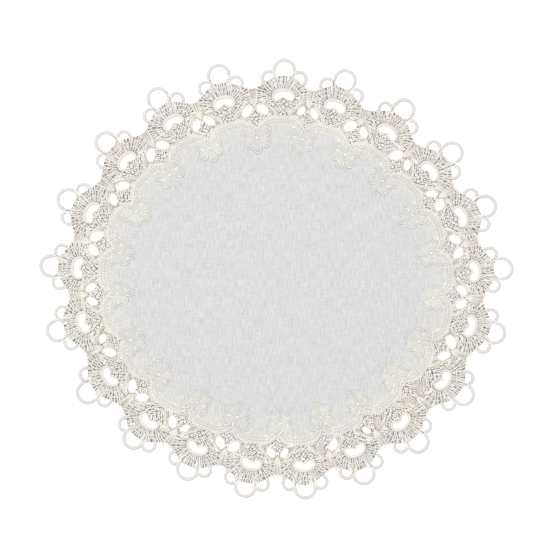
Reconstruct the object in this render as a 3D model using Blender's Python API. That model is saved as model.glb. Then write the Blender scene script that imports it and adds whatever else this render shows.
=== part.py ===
"""Oval lace placemat: a woven cloth panel with stitched flowers, and a lace edging of looped fans.

Lengths are in millimetres until a mesh is made. The mat lies flat, face up, with its underside at z = 0.
The edging is a row of fans, each round an eye. The eyes stand on an oval, a degree or two from even steps.
A place on the mat is (turn, u, v): a fan's number, the way from its eye clockwise along the oval, and the
way outward from the eyes. A fan's loops and eye stay round, in the fan's own straight frame.
"""

from collections import namedtuple
from math import atan2, cos, floor, hypot, radians, sin, tau

import bmesh
import bpy
from mathutils.geometry import delaunay_2d_cdt

MM = 0.001

# Plan
EYE_OVAL = (158.0, 148.0)  # half width and half depth of the oval that the eyes stand on
OVAL_CENTRE = (0.12, -1.62)  # puts the middle of the whole mat's box at the origin
STEP = 45.6  # the usual way from one eye to the next
HALF = STEP / 2

# Heights
LACE_EDGE = 1.3  # the lace at its cut edges
CORD_TOP = 2.3  # the crest of a cord
WEB_TOP = 1.8  # the crest of a fan's threads
CLOTH = 1.0  # the cloth
SEAM_TOP = 1.7  # the stitched row near the cloth's edge
PETAL_TOP = 1.6
PIECE_GAP = 0.3  # between the cloth and the edging

# Cord loops
BIG_LOOP = 9.4  # outer radius
SMALL_LOOP = 6.6
CORD = 2.3  # width of the cord that the loops are made of
SMALL_LOOP_AT = (12.4, 14.2)

# Stitched row near the cloth's edge: how far in its crest and its inner side are
SEAM_CREST = 1.5
SEAM_INSIDE = 3.2

# One row for each fan, clockwise from the top. place is degrees round the oval, out is how far the fan is
# set outward and lean is degrees clockwise. loop is how far the big loop reaches. left_hole and right_hole
# are how open the two holes past the fan are, 0 for one that the threads fill. shift and depth place the
# flower past the fan, along the oval and inward.
Fan = namedtuple("Fan", "place out lean loop left_hole right_hole shift depth")
FANS = [
    Fan(2.0, 0.0, 0.0, 30.4, 0.8, 0.9, -1.0, 32.5),
    Fan(17.5, -2.0, 4.0, 32.0, 1.1, 0.9, 0.0, 32.5),
    Fan(35.0, -3.0, 2.0, 31.6, 1.15, 0.8, 0.0, 33.0),
    Fan(52.5, -3.5, 0.0, 32.4, 0.9, 1.0, 2.5, 33.0),
    Fan(69.5, -1.0, -1.0, 31.0, 1.0, 1.0, 1.5, 31.5),
    Fan(87.0, 0.0, -2.0, 32.0, 1.0, 1.0, 3.5, 32.5),
    Fan(104.0, 1.5, 0.0, 29.6, 1.1, 1.0, 5.0, 33.0),
    Fan(122.5, 0.0, 1.0, 29.2, 0.0, 0.0, 1.0, 32.0),
    Fan(140.5, -1.5, -3.0, 30.4, 0.0, 0.7, 1.0, 31.5),
    Fan(156.5, -0.5, 2.0, 29.4, 1.0, 0.0, -1.5, 34.0),
    Fan(172.0, 0.5, 5.0, 28.0, 0.8, 0.9, -3.0, 33.5),
    Fan(187.5, -1.0, 6.5, 28.6, 1.1, 1.0, -3.0, 33.5),
    Fan(204.0, -2.0, 1.0, 28.4, 0.8, 1.0, -4.5, 33.0),
    Fan(220.5, -0.5, 2.5, 27.4, 1.0, 1.0, -2.0, 32.5),
    Fan(238.5, -1.5, -2.5, 31.4, 1.0, 0.75, -5.0, 29.5),
    Fan(257.0, 0.5, -3.0, 31.2, 0.9, 0.9, -2.0, 31.5),
    Fan(274.0, 1.0, 0.0, 31.4, 1.0, 1.1, -4.0, 31.5),
    Fan(291.5, 1.0, 6.0, 31.0, 0.9, 1.0, -5.5, 31.0),
    Fan(310.5, -0.5, -0.5, 32.0, 1.0, 1.0, -5.0, 32.0),
    Fan(328.5, 0.5, -2.0, 32.2, 1.0, 1.0, -3.0, 31.0),
    Fan(344.5, -0.5, 4.0, 32.2, 1.0, 1.0, -1.0, 32.5),
]

Point = namedtuple("Point", "u v")

# The outer edge of the fans and the cloth's edge, from a fan's middle to halfway to the next fan
FAN_TOP = [
    Point(0.0, 16.8),
    Point(5.0, 16.4),
    Point(10.0, 14.3),
    Point(14.5, 11.2),
    Point(19.0, 8.4),
    Point(HALF, 7.2),
]
SEAM = [
    Point(0.0, -16.4),
    Point(6.0, -16.5),
    Point(12.0, -17.2),
    Point(16.0, -18.8),
    Point(20.0, -22.0),
    Point(HALF, -24.2),
]

# Right halves of what is drawn round the fan's middle. The eye is a bean, pushed up from below by the
# fan's foot. A satin cord runs over it, and the web is crested along its arc of threads.
EYE = [
    Point(0.0, 4.0),
    Point(4.2, 3.4),
    Point(7.2, 1.2),
    Point(8.2, -1.6),
    Point(6.4, -3.8),
    Point(3.6, -3.2),
    Point(0.0, -1.2),
]
EYE_CORD = [
    Point(0.0, 6.2),
    Point(5.4, 5.4),
    Point(9.4, 1.8),
    Point(10.0, -2.6),
]
WEB_CREST = [
    Point(0.0, 13.0),
    Point(8.5, 11.4),
    Point(15.5, 6.6),
]

# A hole under the join of two fans, from the middle of the join
HOLE_AT = Point(6.2, -10.2)
HOLE = (4.9, 2.9)  # half length and half width
HOLE_SLANT = 46.0  # degrees

# Flowers: one row for each petal, by its turn from the mat's middle, its length and its width
Petal = namedtuple("Petal", "turn length width")
PETALS = [
    Petal(0.0, 10.5, 7.0),
    Petal(62.0, 11.5, 6.6),
    Petal(-62.0, 11.5, 6.6),
    Petal(114.0, 13.0, 6.2),
    Petal(-114.0, 13.0, 6.2),
]
PETAL_START = 3.0  # from the flower's middle
# A petal's edge and ridge, as shares of its length past its start and of half its width
PETAL_EDGE = [(0.0, 0.0), (0.35, 0.65), (0.7, 1.0), (1.0, 0.35)]
PETAL_RIDGE = [0.3, 0.75]

ROUND = 14  # sides of a big loop
ROUND_SMALL = 11
ROUND_HOLE = 8
SPECK = 0.3  # a side of a cut outline shorter than this is left out
LEAST_HOLE = 4.0  # square millimetres
TOUCH = 1e-4  # points this near each other are one

# A cord loop in its fan's frame, and a line that the top of a body rises to
Loop = namedtuple("Loop", "middle radius sides")
Crest = namedtuple("Crest", "line height")


def row_at(turn, column):
    """A column of FANS at any turn, on a smooth curve through its rows."""
    whole = floor(turn)
    part = turn - whole
    count = len(FANS)

    def value(k):
        laps = 360.0 * (k // count) if column == "place" else 0.0
        return getattr(FANS[k % count], column) + laps

    before, start, end, after = (value(whole + k) for k in (-1, 0, 1, 2))
    slope_in = (end - before) / 2
    slope_out = (after - start) / 2
    rest = 1 - part
    return (
        start * rest * rest * (1 + 2 * part)
        + end * part * part * (1 + 2 * rest)
        + slope_in * part * rest * rest
        - slope_out * part * part * rest
    )


def on_oval(turn, out=0.0):
    """A point of the oval pushed outward, and the outward direction there."""
    place = radians(row_at(turn, "place"))
    across, deep = EYE_OVAL
    x, y = across * sin(place), deep * cos(place)
    steep = hypot(x / across**2, y / deep**2)
    normal = (x / across**2 / steep, y / deep**2 / steep)
    push = row_at(turn, "out") + out
    middle = OVAL_CENTRE
    return (middle[0] + x + push * normal[0], middle[1] + y + push * normal[1]), normal


def bent(turn, u, v):
    """Point (u, v) of fan number turn, following the bend and the steps of the oval."""
    return on_oval(turn + u / STEP, v)[0]


def straight(turn, u, v):
    """Point (u, v) in the fan's own straight frame."""
    eye, normal = on_oval(turn)
    tilt = atan2(normal[0], normal[1]) + radians(row_at(turn, "lean"))
    right = (cos(tilt), -sin(tilt))
    up = (sin(tilt), cos(tilt))
    return (eye[0] + u * right[0] + v * up[0], eye[1] + u * right[1] + v * up[1])


def circle(turn, middle, radius, sides):
    """A round outline in a fan's frame, anticlockwise."""
    angles = [tau * k / sides for k in range(sides)]
    return [straight(turn, middle[0] + radius * cos(a), middle[1] + radius * sin(a)) for a in angles]


def both_sides(half):
    """A half outline and its mirror image, from left to right."""
    return [Point(-p.u, p.v) for p in reversed(half[1:])] + list(half)


def round_mat(half):
    """A closed outline of the whole mat, anticlockwise, from a half outline of one fan."""
    row = both_sides(half)[:-1]
    loop = [bent(turn, p.u, p.v) for turn in range(len(FANS)) for p in row]
    return loop[::-1]


def closed(loop):
    return loop + loop[:1]


def signed_area(loop):
    return sum(a[0] * b[1] - b[0] * a[1] for a, b in zip(loop, loop[1:] + loop[:1])) / 2


def grown(loop, distance):
    """A loop with each point moved outward along the mean of its two sides' normals."""
    moved = []
    for before, here, after in zip(loop[-1:] + loop[:-1], loop, loop[1:] + loop[:1]):
        sides = []
        for a, b in ((before, here), (here, after)):
            length = hypot(b[0] - a[0], b[1] - a[1])
            sides.append(((b[1] - a[1]) / length, (a[0] - b[0]) / length))
        x, y = sides[0][0] + sides[1][0], sides[0][1] + sides[1][1]
        push = 2 * distance / (x * x + y * y)
        moved.append((here[0] + x * push, here[1] + y * push))
    return moved


def inside(point, loop):
    """Whether a point is inside a closed outline."""
    x, y = point
    found = False
    for a, b in zip(loop, loop[1:] + loop[:1]):
        if (a[1] > y) != (b[1] > y) and x < a[0] + (y - a[1]) * (b[0] - a[0]) / (b[1] - a[1]):
            found = not found
    return found


def triangulated(loops, lines=()):
    """Splits the plane by closed loops and open lines. Returns the points, the number that each point had
    in loops and then lines, and for each triangle its points and the numbers of the loops that hold it."""
    points = [p for loop in loops for p in loop]
    faces, edges, start = [], [], 0
    for loop in loops:
        faces.append(list(range(start, start + len(loop))))
        start += len(loop)
    for line in lines:
        edges += [(len(points) + k, len(points) + k + 1) for k in range(len(line) - 1)]
        points += line
    inside_faces = 1
    found = delaunay_2d_cdt(points, edges, faces, inside_faces, TOUCH, True)
    corners, _, triangles, sources, _, holders = found
    return [tuple(p) for p in corners], sources, list(zip(triangles, holders))


def edge_loops(triangles):
    """The closed outlines of a set of triangles, as lists of point numbers."""
    sides = {(t[k], t[(k + 1) % 3]) for t in triangles for k in range(3)}
    following = {a: b for a, b in sides if (b, a) not in sides}
    loops = []
    while following:
        first = min(following)
        loop = [first]
        while following[loop[-1]] != first:
            loop.append(following.pop(loop[-1]))
        following.pop(loop[-1])
        loops.append(loop)
    return loops


def without_specks(loop):
    """A loop without the points that lie closer than SPECK to the last one kept."""
    kept = []
    for p in loop:
        if not kept or hypot(p[0] - kept[-1][0], p[1] - kept[-1][1]) > SPECK:
            kept.append(p)
    if hypot(kept[0][0] - kept[-1][0], kept[0][1] - kept[-1][1]) <= SPECK:
        kept.pop()
    return kept


def cap(bm, loops, crests, low, upward):
    """Fills closed outlines, holes among them, at a height of low at the outlines and at each crest's own
    height on it. Returns the corners by their numbers in loops, and the rims as lists of those numbers."""
    outer = {k for k, loop in enumerate(loops) if signed_area(loop) > 0}
    turned = [loop if k in outer else loop[::-1] for k, loop in enumerate(loops)]
    heights = [low] * sum(len(loop) for loop in turned)
    for crest in crests:
        heights += [crest.height] * len(crest.line)
    points, sources, found = triangulated(turned, [crest.line for crest in crests])
    kept = [t for t, holders in found if holders and set(holders) <= outer]
    used = {k for t in kept for k in t}
    corners = {}
    for k in used:
        z = max((heights[source] for source in sources[k]), default=low)
        corners[k] = bm.verts.new((points[k][0] * MM, points[k][1] * MM, z * MM))
    for t in kept:
        bm.faces.new([corners[k] for k in (t if upward else t[::-1])])
    rims = edge_loops(kept)
    numbered = {min(sources[k]): corners[k] for rim in rims for k in rim}
    return numbered, [[min(sources[k]) for k in rim] for rim in rims]


def solid(name, loops, crests, low_edge, material):
    """A flat-bottomed body over closed outlines, whose top rises from low_edge to the crests."""
    bm = bmesh.new()
    below, _ = cap(bm, loops, (), 0.0, False)
    above, rims = cap(bm, loops, crests, low_edge, True)
    for rim in rims:
        for a, b in zip(rim, rim[1:] + rim[:1]):
            bm.faces.new((above[b], above[a], below[a], below[b]))
    mesh = bpy.data.meshes.new(name)
    bm.to_mesh(mesh)
    bm.free()
    mesh.materials.append(material)
    piece = bpy.data.objects.new(name, mesh)
    bpy.context.scene.collection.objects.link(piece)


def finish(name, colour, roughness):
    material = bpy.data.materials.new(name)
    material.use_nodes = True
    shader = material.node_tree.nodes["Principled BSDF"]
    shader.inputs["Base Color"].default_value = (*colour, 1.0)
    shader.inputs["Roughness"].default_value = roughness
    shader.inputs["Metallic"].default_value = 0.0
    return material


def eye(turn):
    """The outline of a fan's eye, anticlockwise."""
    left = [Point(-p.u, p.v) for p in EYE[1:-1]]
    return [straight(turn, *p) for p in left + EYE[::-1]]


def bud_hole(turn, side, opening):
    """The outline of the hole on one side of the bud past a fan, anticlockwise."""
    slant = radians(HOLE_SLANT)
    outline = []
    for k in range(ROUND_HOLE):
        angle = tau * k / ROUND_HOLE
        along = HOLE[0] * opening * cos(angle)
        across = HOLE[1] * opening * sin(angle)
        u = HOLE_AT.u + along * cos(slant) + across * sin(slant)
        v = HOLE_AT.v - along * sin(slant) + across * cos(slant)
        outline.append(bent(turn, HALF + side * u, v))
    return outline[::side]


def fan_holes(turn):
    fan = FANS[turn]
    openings = ((-1, fan.left_hole), (1, fan.right_hole))
    return [eye(turn)] + [bud_hole(turn, side, opening) for side, opening in openings if opening]


def fan_loops(turn):
    """The three cord loops of a fan."""
    side, up = SMALL_LOOP_AT
    return [
        Loop((0.0, FANS[turn].loop - BIG_LOOP), BIG_LOOP, ROUND),
        Loop((-side, up), SMALL_LOOP, ROUND_SMALL),
        Loop((side, up), SMALL_LOOP, ROUND_SMALL),
    ]


def loop_crest(turn, loop, body):
    """The crest of a cord loop, only where it stands clear of the fan."""
    ring = circle(turn, loop.middle, loop.radius - CORD / 2, loop.sides)
    inward = [hypot(x - OVAL_CENTRE[0], y - OVAL_CENTRE[1]) for x, y in ring]
    first = inward.index(min(inward))
    ring = ring[first:] + ring[:first]
    return Crest([p for p in ring if not inside(p, body)], CORD_TOP)


def lace_shapes(body):
    """Every outline that bounds the lace, each with its kind: body, cut, or a loop's side and number."""
    shapes = [(body, "body"), (grown(round_mat(SEAM), PIECE_GAP), "cut")]
    for turn in range(len(FANS)):
        shapes += [(hole, "cut") for hole in fan_holes(turn)]
        for number, loop in enumerate(fan_loops(turn)):
            for side, radius in (("outside", loop.radius), ("inside", loop.radius - CORD)):
                shapes.append((circle(turn, loop.middle, radius, loop.sides), (side, turn, number)))
    return shapes


def is_lace(kinds):
    """Whether a spot held by outlines of these kinds is lace: fan or cord, and not cut away."""
    if "cut" in kinds:
        return False
    cords = {kind[1:] for kind in kinds if kind[0] == "outside"}
    bare = {kind[1:] for kind in kinds if kind[0] == "inside"}
    return "body" in kinds or bool(cords - bare)


def lace_edging(material):
    body = round_mat(FAN_TOP)
    shapes = lace_shapes(body)
    points, _, found = triangulated([outline for outline, _ in shapes])
    kept = [t for t, holders in found if is_lace({shapes[k][1] for k in holders})]
    rims = [[points[k] for k in rim] for rim in edge_loops(kept)]
    outlines = [without_specks(rim) for rim in rims if abs(signed_area(rim)) > LEAST_HOLE]
    crests = []
    for turn in range(len(FANS)):
        crests += [loop_crest(turn, loop, body) for loop in fan_loops(turn)]
        crests.append(Crest([straight(turn, *p) for p in both_sides(EYE_CORD)], CORD_TOP))
        crests.append(Crest([straight(turn, *p) for p in both_sides(WEB_CREST)], WEB_TOP))
    solid("lace_edging", outlines, crests, LACE_EDGE, material)


def petal(turn, row):
    """A petal's outline and its ridge, both bent with the oval."""
    angle = radians(row.turn)
    fan = FANS[turn]

    def at(share, aside):
        ahead = PETAL_START + share * (row.length - PETAL_START)
        aside *= row.width / 2
        u = HALF + fan.shift + ahead * sin(angle) + aside * cos(angle)
        v = -fan.depth - ahead * cos(angle) + aside * sin(angle)
        return bent(turn, u, v)

    outline = [at(share, aside) for share, aside in PETAL_EDGE]
    outline += [at(share, -aside) for share, aside in reversed(PETAL_EDGE) if aside]
    return Crest(closed(outline), CLOTH), Crest([at(share, 0) for share in PETAL_RIDGE], PETAL_TOP)


def cloth_panel(material):
    edge = round_mat(SEAM)
    crests = [
        Crest(closed(grown(edge, -SEAM_CREST)), SEAM_TOP),
        Crest(closed(grown(edge, -SEAM_INSIDE)), CLOTH),
    ]
    for turn in range(len(FANS)):
        for row in PETALS:
            crests += petal(turn, row)
    solid("cloth_panel", [edge], crests, CLOTH, material)


def main():
    for old in list(bpy.data.objects):
        bpy.data.objects.remove(old, do_unlink=True)
    cloth_panel(finish("linen_cloth", (0.74, 0.74, 0.74), 0.9))
    lace_edging(finish("cream_lace_thread", (0.80, 0.77, 0.70), 0.75))


main()
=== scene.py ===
"""Looks of the oval lace placemat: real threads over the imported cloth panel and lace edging.

A place on the mat is a fan's number with (u, v): the way from its eye clockwise along the oval, and the
way outward. Halfway to the next fan is u = HALF.
"""

from collections import namedtuple
from math import cos, pi, radians, sin, tau

import bmesh
import bpy
import numpy as np
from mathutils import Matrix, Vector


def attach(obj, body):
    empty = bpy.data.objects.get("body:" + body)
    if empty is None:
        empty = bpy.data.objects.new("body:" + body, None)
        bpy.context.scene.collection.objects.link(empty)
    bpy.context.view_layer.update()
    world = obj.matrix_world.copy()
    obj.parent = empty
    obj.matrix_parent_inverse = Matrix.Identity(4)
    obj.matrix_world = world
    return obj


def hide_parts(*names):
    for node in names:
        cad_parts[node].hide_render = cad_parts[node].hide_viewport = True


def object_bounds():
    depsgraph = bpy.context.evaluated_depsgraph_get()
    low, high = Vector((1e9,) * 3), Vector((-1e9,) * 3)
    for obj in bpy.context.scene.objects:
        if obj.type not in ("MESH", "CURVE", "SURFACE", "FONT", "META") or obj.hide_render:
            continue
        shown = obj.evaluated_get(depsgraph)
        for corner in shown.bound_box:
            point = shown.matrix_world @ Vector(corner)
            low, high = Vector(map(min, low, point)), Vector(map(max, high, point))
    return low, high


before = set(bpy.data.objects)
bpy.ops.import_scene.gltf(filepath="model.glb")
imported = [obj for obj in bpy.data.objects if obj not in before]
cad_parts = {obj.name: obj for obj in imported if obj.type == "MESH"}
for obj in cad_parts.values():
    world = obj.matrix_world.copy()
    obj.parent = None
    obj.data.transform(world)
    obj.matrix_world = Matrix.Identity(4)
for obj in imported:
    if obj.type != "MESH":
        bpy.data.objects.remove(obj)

MM = 0.001
CAD_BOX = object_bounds()
RANDOM = np.random.default_rng(21)

# -------------------------------- the mat's layout, as in the solids

EYE_OVAL = (158.0, 148.0)  # half the width and height of the oval that the fans' eyes lie on
OVAL_CENTRE = np.array((0.12, -1.62))
STEP = 45.6  # from fan to fan along that oval
HALF = STEP / 2

# One row for each fan, clockwise from the top. place is degrees round the oval, out is how far the fan is
# set outward and lean is degrees clockwise. loop is how far the big loop reaches. left_hole and right_hole
# are how open the two holes past the fan are, 0 for one that is sewn shut. shift and depth place the flower
# past the fan, along the oval and inward.
Fan = namedtuple("Fan", "place out lean loop left_hole right_hole shift depth")
FANS = [
    Fan(2.0, 0.0, 0.0, 30.4, 0.8, 0.9, -1.0, 32.5),
    Fan(17.5, -2.0, 4.0, 32.0, 1.1, 0.9, 0.0, 32.5),
    Fan(35.0, -3.0, 2.0, 31.6, 1.15, 0.8, 0.0, 33.0),
    Fan(52.5, -3.5, 0.0, 32.4, 0.9, 1.0, 2.5, 33.0),
    Fan(69.5, -1.0, -1.0, 31.0, 1.0, 1.0, 1.5, 31.5),
    Fan(87.0, 0.0, -2.0, 32.0, 1.0, 1.0, 3.5, 32.5),
    Fan(104.0, 1.5, 0.0, 29.6, 1.1, 1.0, 5.0, 33.0),
    Fan(122.5, 0.0, 1.0, 29.2, 0.0, 0.0, 1.0, 32.0),
    Fan(140.5, -1.5, -3.0, 30.4, 0.0, 0.7, 1.0, 31.5),
    Fan(156.5, -0.5, 2.0, 29.4, 1.0, 0.0, -1.5, 34.0),
    Fan(172.0, 0.5, 5.0, 28.0, 0.8, 0.9, -3.0, 33.5),
    Fan(187.5, -1.0, 6.5, 28.6, 1.1, 1.0, -3.0, 33.5),
    Fan(204.0, -2.0, 1.0, 28.4, 0.8, 1.0, -4.5, 33.0),
    Fan(220.5, -0.5, 2.5, 27.4, 1.0, 1.0, -2.0, 32.5),
    Fan(238.5, -1.5, -2.5, 31.4, 1.0, 0.75, -5.0, 29.5),
    Fan(257.0, 0.5, -3.0, 31.2, 0.9, 0.9, -2.0, 31.5),
    Fan(274.0, 1.0, 0.0, 31.4, 1.0, 1.1, -4.0, 31.5),
    Fan(291.5, 1.0, 6.0, 31.0, 0.9, 1.0, -5.5, 31.0),
    Fan(310.5, -0.5, -0.5, 32.0, 1.0, 1.0, -5.0, 32.0),
    Fan(328.5, 0.5, -2.0, 32.2, 1.0, 1.0, -3.0, 31.0),
    Fan(344.5, -0.5, 4.0, 32.2, 1.0, 1.0, -1.0, 32.5),
]
TURNS = range(len(FANS))
SIDES = (-1, 1)  # left and right of a middle

# The cloth's edge, from a fan's middle to halfway to the next
SEAM = [(0.0, -16.4), (6.0, -16.5), (12.0, -17.2), (16.0, -18.8), (20.0, -22.0), (HALF, -24.2)]


def unit(vectors):
    """Vectors, each brought to a length of 1."""
    return vectors / np.linalg.norm(vectors, axis=-1, keepdims=True)


def row_at(turns, column):
    """A column of FANS at any turns, on a smooth curve through its rows."""
    turns = np.asarray(turns, float)
    values = np.array([getattr(fan, column) for fan in FANS])
    whole = np.floor(turns).astype(int)
    part = turns - whole
    rest = 1 - part

    def value(k):
        """The column in row k. Places go on past 360 degrees from lap to lap."""
        laps = 360.0 * (k // len(FANS)) if column == "place" else 0.0
        return values[k % len(FANS)] + laps

    before, start, end, after = (value(whole + k) for k in (-1, 0, 1, 2))
    return (
        start * rest * rest * (1 + 2 * part)
        + end * part * part * (1 + 2 * rest)
        + (end - before) / 2 * part * rest * rest
        - (after - start) / 2 * part * part * rest
    )


def on_oval(turns, out):
    """Points of the oval pushed outward, and the outward directions there."""
    place = np.radians(row_at(turns, "place"))
    point = np.stack((EYE_OVAL[0] * np.sin(place), EYE_OVAL[1] * np.cos(place)), -1)
    normal = unit(point / np.square(EYE_OVAL))
    push = row_at(turns, "out") + out
    return OVAL_CENTRE + point + push[..., None] * normal, normal


def bent(turn, uv):
    """Points (u, v) of a fan, following the bend and the steps of the oval."""
    uv = np.asarray(uv, float)
    return on_oval(turn + uv[..., 0] / STEP, uv[..., 1])[0]


def straight(turn, uv):
    """Points (u, v) in the fan's own straight frame."""
    uv = np.asarray(uv, float)
    eye, normal = on_oval(np.array(float(turn)), np.array(0.0))
    tilt = np.arctan2(normal[0], normal[1]) + radians(FANS[turn].lean)
    right = np.array((np.cos(tilt), -np.sin(tilt)))
    up = np.array((np.sin(tilt), np.cos(tilt)))
    return eye + uv[..., :1] * right + uv[..., 1:] * up


STRAIGHT_TO = 9.0  # how far to each side of its middle a fan is straight
BENT_FROM = 20.0  # and from where on it follows the oval


def woven(turn, uv):
    """Points (u, v) of a fan: straight round its eye, and bent with the oval toward its neighbours."""
    uv = np.asarray(uv, float)
    share = np.clip((np.abs(uv[..., :1]) - STRAIGHT_TO) / (BENT_FROM - STRAIGHT_TO), 0, 1)
    share = share * share * (3 - 2 * share)
    return straight(turn, uv) * (1 - share) + bent(turn, uv) * share


# -------------------------------- curves and chance

CURVE_PARTS = 12  # parts of a smooth curve between two given points, before its points are spaced evenly


def mirrored(half):
    """A whole line from its right half, which starts at the middle."""
    half = np.asarray(half, float)
    return np.concatenate((half[:0:-1] * (-1, 1), half))


def distances(line):
    """How far along a line each of its points is."""
    return np.concatenate(([0], np.cumsum(np.linalg.norm(np.diff(line, axis=0), axis=1))))


def points_at(line, far, at):
    """The places at some distances along a line. far is how far along it each of its own points is."""
    return np.stack([np.interp(at, far, column) for column in line.T], -1)


def along(line, share):
    """The places on a line at some shares of its length."""
    far = distances(line)
    return points_at(line, far, np.asarray(share, float) * far[-1])


def respaced(line, step, closed):
    """A line's points moved to even steps along it. A closed line ends one step before its start."""
    far = distances(line)
    at = np.linspace(0, far[-1], max(2, round(far[-1] / step)) + 1)
    return points_at(line, far, at[:-1] if closed else at)


def directions(line, closed):
    """The way ahead at each point of a line."""
    if closed:
        return unit(np.roll(line, -1, 0) - np.roll(line, 1, 0))
    return unit(np.gradient(line, axis=0))


def smooth(points, step, closed=False):
    """Points every step along the smooth curve through some points."""
    points = np.asarray(points, float)
    if closed:
        points = np.concatenate((points[-1:], points, points[:2]))
    else:
        points = np.concatenate((2 * points[:1] - points[1:2], points, 2 * points[-1:] - points[-2:-1]))
    parts = np.linspace(0, 1, CURVE_PARTS, endpoint=False)[:, None]
    dense = []
    for a, b, c, d in zip(points, points[1:], points[2:], points[3:]):
        dense.append(
            b
            + (c - a) / 2 * parts
            + (a - 2.5 * b + 2 * c - d / 2) * parts**2
            + (1.5 * b - a / 2 - 1.5 * c + d / 2) * parts**3
        )
    dense.append(points[-2:-1])
    return respaced(np.concatenate(dense), step, closed)


def circle(middle, radius, step):
    """Points every step round a circle."""
    count = round(tau * radius / step)
    angles = tau * np.arange(count) / count
    return np.array(middle) + radius * np.stack((np.cos(angles), np.sin(angles)), -1)


def stray(amount, shape=None):
    """Seeded offsets of up to an amount either way, as of threads laid by a machine that isn't perfect."""
    return amount * RANDOM.uniform(-1, 1, shape)


def uneven(amount):
    """A seeded factor that differs from 1 by up to an amount."""
    return 1 + stray(amount)


# -------------------------------- threads


class Cord(namedtuple("Cord", "width tall z")):
    """How wide and tall a thread is, and how high its middle lies. Each may differ from point to point."""

    def varied(self, amount):
        """The same thread, wider or narrower by a seeded share."""
        return self._replace(width=self.width * uneven(amount))

    def raised(self, lift):
        """The same thread, lying higher."""
        return self._replace(z=self.z + lift)


ROUND_END = 0.7  # how far the ends of a thread bulge, in half widths


class Threads:
    """Many round threads, gathered into one mesh. Its UV map runs along each thread in millimetres, and
    once round it."""

    def __init__(self, name, sides):
        self.name = name
        self.sides = sides
        self.points, self.quads, self.ends = [], [], []
        self.quad_uv, self.end_uv = [], []
        self.count = 0

    def lay(self, line, cord, closed=False, ribs=0.0):
        """One thread along a line of (x, y). ribs swells every second ring of points by that share."""
        n = len(line)
        line = np.column_stack((line, np.broadcast_to(cord.z, n)))
        ahead = directions(line, closed)
        aside = unit(np.cross(ahead, (0, 0, 1)))
        over = np.cross(aside, ahead)
        swell = 1 + ribs * (np.arange(n) % 2)
        wide = np.broadcast_to(cord.width, n) * swell / 2
        high = np.broadcast_to(cord.tall, n) * swell / 2
        angle = tau * np.arange(self.sides) / self.sides
        rings = (
            line[:, None]
            + aside[:, None] * (np.cos(angle)[:, None] * wide[:, None, None])
            + over[:, None] * (np.sin(angle)[:, None] * high[:, None, None])
        )
        first = self.count
        self.points.append(rings.reshape(-1, 3))
        self.count += n * self.sides
        run = np.linalg.norm(np.diff(line, axis=0, append=line[:1]), axis=1)
        length = np.concatenate(([0], np.cumsum(run)))
        self.cover(first, length, closed)
        if not closed:
            bulge = ROUND_END * wide[:, None] * ahead
            self.close(first, line[0] - bulge[0], length[0])
            last = first + (n - 1) * self.sides
            self.close(last, line[-1] + bulge[-1], length[n - 1], turned=True)

    def cover(self, first, length, closed):
        """The faces between the rings of a thread that starts at point first."""
        n, sides = len(length) - 1, self.sides
        ring = np.arange(n if closed else n - 1)[:, None]
        here, there = ring * sides, (ring + 1) % n * sides
        j = np.arange(sides)
        k = (j + 1) % sides
        corners = np.stack((here + j, here + k, there + k, there + j), -1)
        self.quads.append(first + corners.reshape(-1, 4)[:, ::-1])
        start, end = length[ring], length[ring + 1]
        uv = [(start, j), (start, j + 1), (end, j + 1), (end, j)]
        uv = [np.stack(np.broadcast_arrays(u, v / sides), -1) for u, v in uv]
        self.quad_uv.append(np.stack(uv, 2).reshape(-1, 4, 2)[:, ::-1])

    def close(self, ring, tip, length, turned=False):
        """The faces from a thread's end ring to its tip."""
        j = np.arange(self.sides)
        k = (j + 1) % self.sides
        if turned:
            j, k = k, j
        self.points.append(tip[None])
        self.ends.append(np.stack((ring + j, ring + k, np.full(self.sides, self.count)), -1))
        self.end_uv.append(np.broadcast_to(np.array((length, 0.0)), (self.sides, 3, 2)))
        self.count += 1

    def build(self, material):
        """Makes the mesh, in metres, and hangs it on the mat."""
        mesh = bpy.data.meshes.new(self.name)
        points = np.concatenate(self.points) * MM
        quads = np.concatenate(self.quads)
        ends = np.concatenate(self.ends) if self.ends else np.zeros((0, 3), int)
        corners = np.concatenate((quads.reshape(-1), ends.reshape(-1)))
        sizes = np.concatenate((np.full(len(quads), 4), np.full(len(ends), 3)))
        starts = np.concatenate(([0], np.cumsum(sizes)[:-1]))
        mesh.vertices.add(len(points))
        mesh.vertices.foreach_set("co", points.astype(np.float32).reshape(-1))
        mesh.loops.add(len(corners))
        mesh.loops.foreach_set("vertex_index", corners.astype(np.int32))
        mesh.polygons.add(len(sizes))
        mesh.polygons.foreach_set("loop_start", starts.astype(np.int32))
        mesh.update(calc_edges=True)
        uv = np.concatenate([u.reshape(-1, 2) for u in self.quad_uv + self.end_uv])
        layer = mesh.uv_layers.new(name="Thread")
        layer.data.foreach_set("uv", uv.astype(np.float32).reshape(-1))
        mesh.validate()
        mesh.shade_smooth()
        return placed(self.name, mesh, material)


def placed(name, mesh, material):
    """A piece in the scene, which rides on the mat."""
    mesh.materials.append(material)
    piece = bpy.data.objects.new(name, mesh)
    bpy.context.scene.collection.objects.link(piece)
    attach(piece, "root")
    return piece


# -------------------------------- materials


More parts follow.
